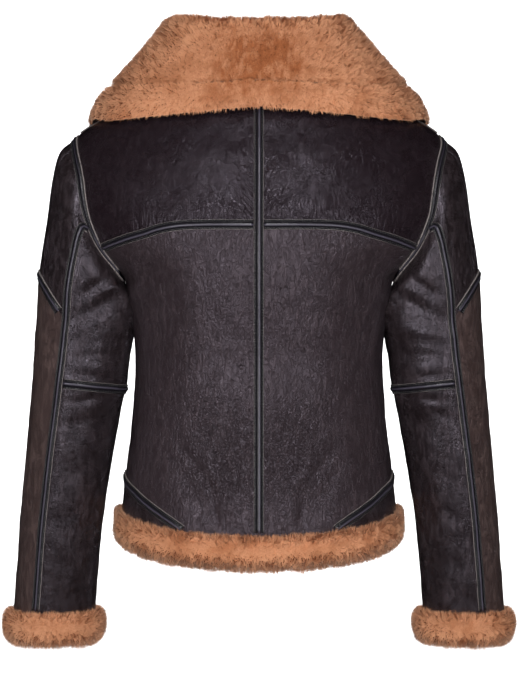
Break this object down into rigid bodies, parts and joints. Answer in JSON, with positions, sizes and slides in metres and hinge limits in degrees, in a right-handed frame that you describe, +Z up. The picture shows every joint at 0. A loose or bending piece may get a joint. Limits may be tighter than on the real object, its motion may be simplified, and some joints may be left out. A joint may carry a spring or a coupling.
{
  "type": "sheepskin flying jacket",
  "caption": "Hip-length sheepskin flying jacket, filled out as worn: leather panels with taped seams, wide wool collar, wool cuffs and hem.",
  "frame": {"origin": "middle of the neck base, level with the neck ends of the shoulder seams, where the wearer's shoulders carry it", "axes": "+Z up; -Y is the back, +Y the zipped front; +X is the wearer's right"},
  "size_m": [0.6068, 0.269, 0.7294],
  "materials": {
    "leather": "dark brown pull-up leather, semi-gloss, finely creased",
    "brown_leather": "warmer brown leather, matter",
    "tape_leather": "smooth dark leather tape, topstitched on both edges",
    "wool": "dense clipped sheep's wool, ginger tan",
    "zip_cloth": "woven zip tape",
    "zip_metal": "antique brass"
  },
  "bodies": {
    "jacket": {"yoke_right": "leather", "yoke_left": "leather", "back_right": "leather", "back_left": "leather", "hip_right": "leather", "hip_left": "leather", "front_right": "leather", "front_left": "leather", "sleeve_cap_back_right": "leather", "sleeve_cap_back_left": "leather", "sleeve_cap_front_right": "leather", "sleeve_cap_front_left": "leather", "sleeve_outer_right": "brown_leather", "sleeve_outer_left": "brown_leather", "sleeve_under_upper_right": "leather", "sleeve_under_upper_left": "leather", "sleeve_under_lower_right": "leather", "sleeve_under_lower_left": "leather", "cuff_right": "wool", "cuff_left": "wool", "hem_front_right": "wool", "hem_front_left": "wool", "yoke_tape_right": "tape_leather", "yoke_tape_left": "tape_leather", "hip_tape_right": "tape_leather", "hip_tape_left": "tape_leather", "shoulder_tape_right": "tape_leather", "shoulder_tape_left": "tape_leather", "armhole_tape_right": "tape_leather", "armhole_tape_left": "tape_leather", "sleeve_tape_right": "tape_leather", "sleeve_tape_left": "tape_leather", "diagonal_tape_right": "tape_leather", "diagonal_tape_left": "tape_leather", "elbow_tape_right": "tape_leather", "elbow_tape_left": "tape_leather", "zip_tape_right": "zip_cloth", "zip_tape_left": "zip_cloth", "centre_back_tape": "tape_leather", "hem_back": "wool", "collar": "wool", "collar_edge": "wool", "zip_slider": "zip_metal"},
    "zip_pull": {"zip_pull": "zip_metal"}
  },
  "joints": [
    {"name": "zip_pull_hinge", "type": "hinge", "parent": "jacket", "child": "zip_pull", "pos_m": [0, 0.11756, -0.10704], "axis": [1, 0, 0], "range_deg": [0, 110]}
  ]
}
